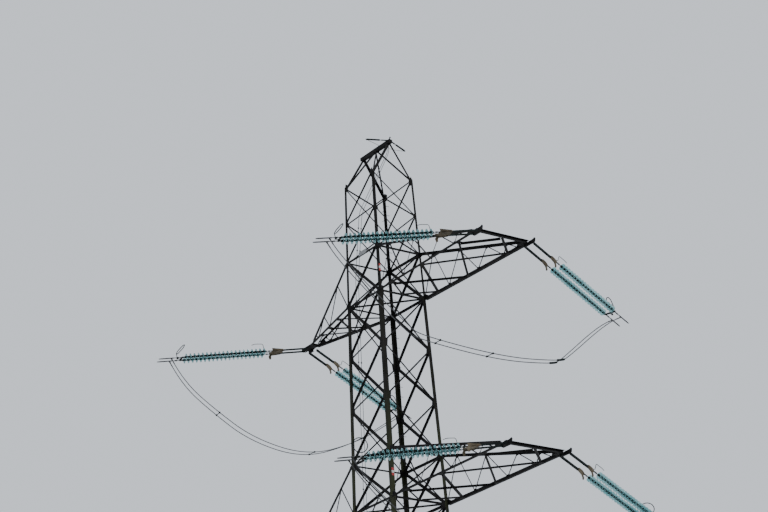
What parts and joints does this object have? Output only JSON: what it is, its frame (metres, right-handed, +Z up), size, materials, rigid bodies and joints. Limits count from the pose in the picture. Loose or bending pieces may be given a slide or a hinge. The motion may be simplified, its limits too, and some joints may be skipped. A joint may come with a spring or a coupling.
{
  "type": "lattice transmission pylon",
  "caption": "Lattice steel angle tower with square-ended and pointed cross-arms, glass tension insulator sets and twin jumper loops, on concrete footings.",
  "frame": {"origin": "the tower's vertical axis at ground level, midway between the four footings", "axes": "+Z up; the cross-arms run along X with the square-ended arms on +X; the line runs along Y and bends towards -X"},
  "size_m": [16.409, 14.6379, 39.96],
  "materials": {
    "weathered_steel": "dull weathered galvanising, dark grey-brown",
    "arm_steel": "dull weathered galvanising, darker",
    "rusty_fittings": "rusty forged steel",
    "teal_glass": "toughened glass, pale teal",
    "grey_conductor": "weathered stranded aluminium",
    "concrete": "weathered concrete"
  },
  "bodies": {
    "root": {"arm_bottom_left": "arm_steel", "arm_bottom_right": "arm_steel", "arm_middle_left": "arm_steel", "arm_middle_right": "arm_steel", "arm_top_left": "arm_steel", "arm_top_right": "arm_steel", "down_leads": "grey_conductor", "earthwire_clamps": "rusty_fittings", "fittings_bottom_left": "rusty_fittings", "fittings_bottom_right": "rusty_fittings", "fittings_middle_left": "rusty_fittings", "fittings_middle_right": "rusty_fittings", "fittings_top_left": "rusty_fittings", "fittings_top_right": "rusty_fittings", "footings": "concrete", "insulators_bottom_left": "teal_glass", "insulators_bottom_right": "teal_glass", "insulators_middle_left": "teal_glass", "insulators_middle_right": "teal_glass", "insulators_top_left": "teal_glass", "insulators_top_right": "teal_glass", "jumper_bottom_left_inner": "grey_conductor", "jumper_bottom_left_outer": "grey_conductor", "jumper_bottom_right_inner": "grey_conductor", "jumper_bottom_right_outer": "grey_conductor", "jumper_middle_left_inner": "grey_conductor", "jumper_middle_left_outer": "grey_conductor", "jumper_middle_right_inner": "grey_conductor", "jumper_middle_right_outer": "grey_conductor", "jumper_top_left_inner": "grey_conductor", "jumper_top_left_outer": "grey_conductor", "jumper_top_right_inner": "grey_conductor", "jumper_top_right_outer": "grey_conductor", "leg_lower_back_left": "weathered_steel", "leg_lower_back_right": "weathered_steel", "leg_lower_front_left": "weathered_steel", "leg_lower_front_right": "weathered_steel", "leg_upper_back_left": "weathered_steel", "leg_upper_back_right": "weathered_steel", "leg_upper_front_left": "weathered_steel", "leg_upper_front_right": "weathered_steel", "lower_bracing_back": "weathered_steel", "lower_bracing_front": "weathered_steel", "lower_bracing_left": "weathered_steel", "lower_bracing_right": "weathered_steel", "peak_frame": "weathered_steel", "plan_bracing": "weathered_steel", "portal_bracing_back_left": "weathered_steel", "portal_bracing_back_right": "weathered_steel", "portal_bracing_front_left": "weathered_steel", "portal_bracing_front_right": "weathered_steel", "upper_bracing_back": "weathered_steel", "upper_bracing_front": "weathered_steel", "upper_bracing_left": "weathered_steel", "upper_bracing_right": "weathered_steel"}
  },
  "joints": []
}
